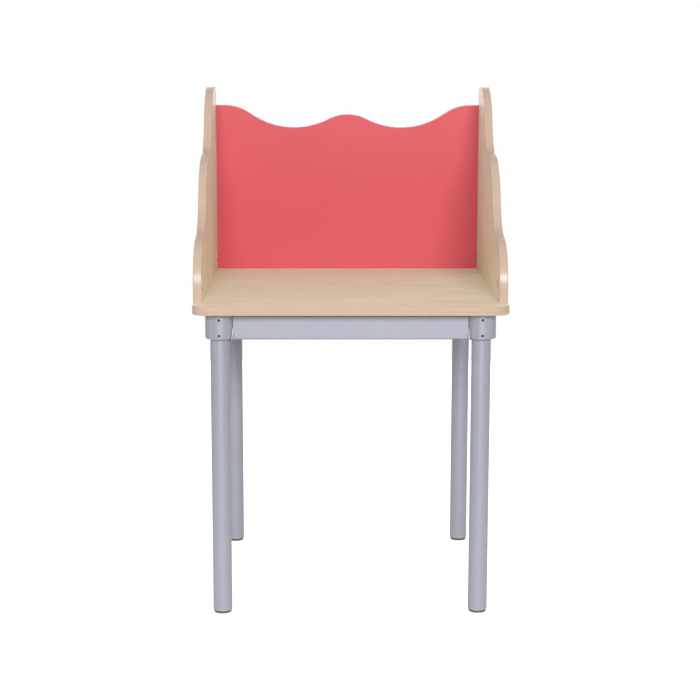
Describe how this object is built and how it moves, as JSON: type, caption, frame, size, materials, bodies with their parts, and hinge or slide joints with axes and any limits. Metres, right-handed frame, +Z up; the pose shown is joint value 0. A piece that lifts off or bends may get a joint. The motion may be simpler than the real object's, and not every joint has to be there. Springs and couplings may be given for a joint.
{
  "type": "study carrel",
  "caption": "One-person study carrel: square laminate table on a round-leg steel frame, with wavy maple side panels and a coral-red back panel.",
  "frame": {"origin": "on the floor, under the middle of the square table top", "axes": "+Z up, +X to the right of the person seated, +Y towards the back panel"},
  "size_m": [0.65, 0.65, 1.088],
  "materials": {
    "maple_laminate": "satin melamine face with a fine maple grain",
    "maple_edging": "semi-gloss 2 mm plastic edge band, maple coloured",
    "red_laminate": "satin coral-red melamine face",
    "red_edging": "semi-gloss 2 mm plastic edge band, coral red",
    "silver_paint": "silver-grey powder coat",
    "zinc_casting": "as-cast zinc",
    "zinc_plated_steel": "bright zinc plate",
    "black_steel": "black oxide",
    "beech": "raw turned beech",
    "grey_plastic": "moulded light grey plastic",
    "black_plastic": "moulded black plastic",
    "maple_plastic": "moulded beige plastic",
    "red_plastic": "moulded red plastic"
  },
  "bodies": {
    "carrel": {"back_cam_caps": "red_plastic", "back_panel": "red_laminate", "back_panel_edge_band": "red_edging", "cam_bolts": "zinc_plated_steel", "cam_locks": "zinc_casting", "clamp_bush_back_left": "black_plastic", "clamp_bush_back_right": "black_plastic", "clamp_bush_front_left": "black_plastic", "clamp_bush_front_right": "black_plastic", "corner_sleeve_back_left": "silver_paint", "corner_sleeve_back_right": "silver_paint", "corner_sleeve_front_left": "silver_paint", "corner_sleeve_front_right": "silver_paint", "dowels": "beech", "left_panel_edge_band": "maple_edging", "left_side_panel": "maple_laminate", "leg_clamp_screws": "black_steel", "leg_plug_back_left": "grey_plastic", "leg_plug_back_right": "grey_plastic", "leg_plug_front_left": "grey_plastic", "leg_plug_front_right": "grey_plastic", "leg_tube_back_left": "silver_paint", "leg_tube_back_right": "silver_paint", "leg_tube_front_left": "silver_paint", "leg_tube_front_right": "silver_paint", "plug_nuts": "zinc_plated_steel", "rail_back": "silver_paint", "rail_front": "silver_paint", "rail_left": "silver_paint", "rail_right": "silver_paint", "rail_tabs": "silver_paint", "right_panel_edge_band": "maple_edging", "right_side_panel": "maple_laminate", "side_cam_caps": "maple_plastic", "table_top_board": "maple_laminate", "table_top_edge_band": "maple_edging", "top_screws": "zinc_plated_steel"},
    "foot_front_left": {"glide_pad_front_left": "black_plastic"},
    "stem_front_left": {"levelling_stem_front_left": "zinc_plated_steel"},
    "foot_front_right": {"glide_pad_front_right": "black_plastic"},
    "stem_front_right": {"levelling_stem_front_right": "zinc_plated_steel"},
    "foot_back_left": {"glide_pad_back_left": "black_plastic"},
    "stem_back_left": {"levelling_stem_back_left": "zinc_plated_steel"},
    "foot_back_right": {"glide_pad_back_right": "black_plastic"},
    "stem_back_right": {"levelling_stem_back_right": "zinc_plated_steel"}
  },
  "joints": [
    {"name": "foot_front_left_slide", "type": "slide", "parent": "carrel", "child": "foot_front_left", "axis": [0, 0, -1], "range_m": [0, 0.012]},
    {"name": "stem_front_left_turn", "type": "hinge", "parent": "foot_front_left", "child": "stem_front_left", "pos_m": [-0.27, -0.27, 0.02], "axis": [0, 0, -1], "range_deg": [0, 3456]},
    {"name": "foot_front_right_slide", "type": "slide", "parent": "carrel", "child": "foot_front_right", "axis": [0, 0, -1], "range_m": [0, 0.012]},
    {"name": "stem_front_right_turn", "type": "hinge", "parent": "foot_front_right", "child": "stem_front_right", "pos_m": [0.27, -0.27, 0.02], "axis": [0, 0, -1], "range_deg": [0, 3456]},
    {"name": "foot_back_left_slide", "type": "slide", "parent": "carrel", "child": "foot_back_left", "axis": [0, 0, -1], "range_m": [0, 0.012]},
    {"name": "stem_back_left_turn", "type": "hinge", "parent": "foot_back_left", "child": "stem_back_left", "pos_m": [-0.27, 0.27, 0.02], "axis": [0, 0, -1], "range_deg": [0, 3456]},
    {"name": "foot_back_right_slide", "type": "slide", "parent": "carrel", "child": "foot_back_right", "axis": [0, 0, -1], "range_m": [0, 0.012]},
    {"name": "stem_back_right_turn", "type": "hinge", "parent": "foot_back_right", "child": "stem_back_right", "pos_m": [0.27, 0.27, 0.02], "axis": [0, 0, -1], "range_deg": [0, 3456]}
  ],
  "couplings": [
    {"joint": "foot_front_left_slide", "follows": "stem_front_left_turn", "m_per_rad": 0.00019894},
    {"joint": "foot_front_right_slide", "follows": "stem_front_right_turn", "m_per_rad": 0.00019894},
    {"joint": "foot_back_left_slide", "follows": "stem_back_left_turn", "m_per_rad": 0.00019894},
    {"joint": "foot_back_right_slide", "follows": "stem_back_right_turn", "m_per_rad": 0.00019894}
  ]
}
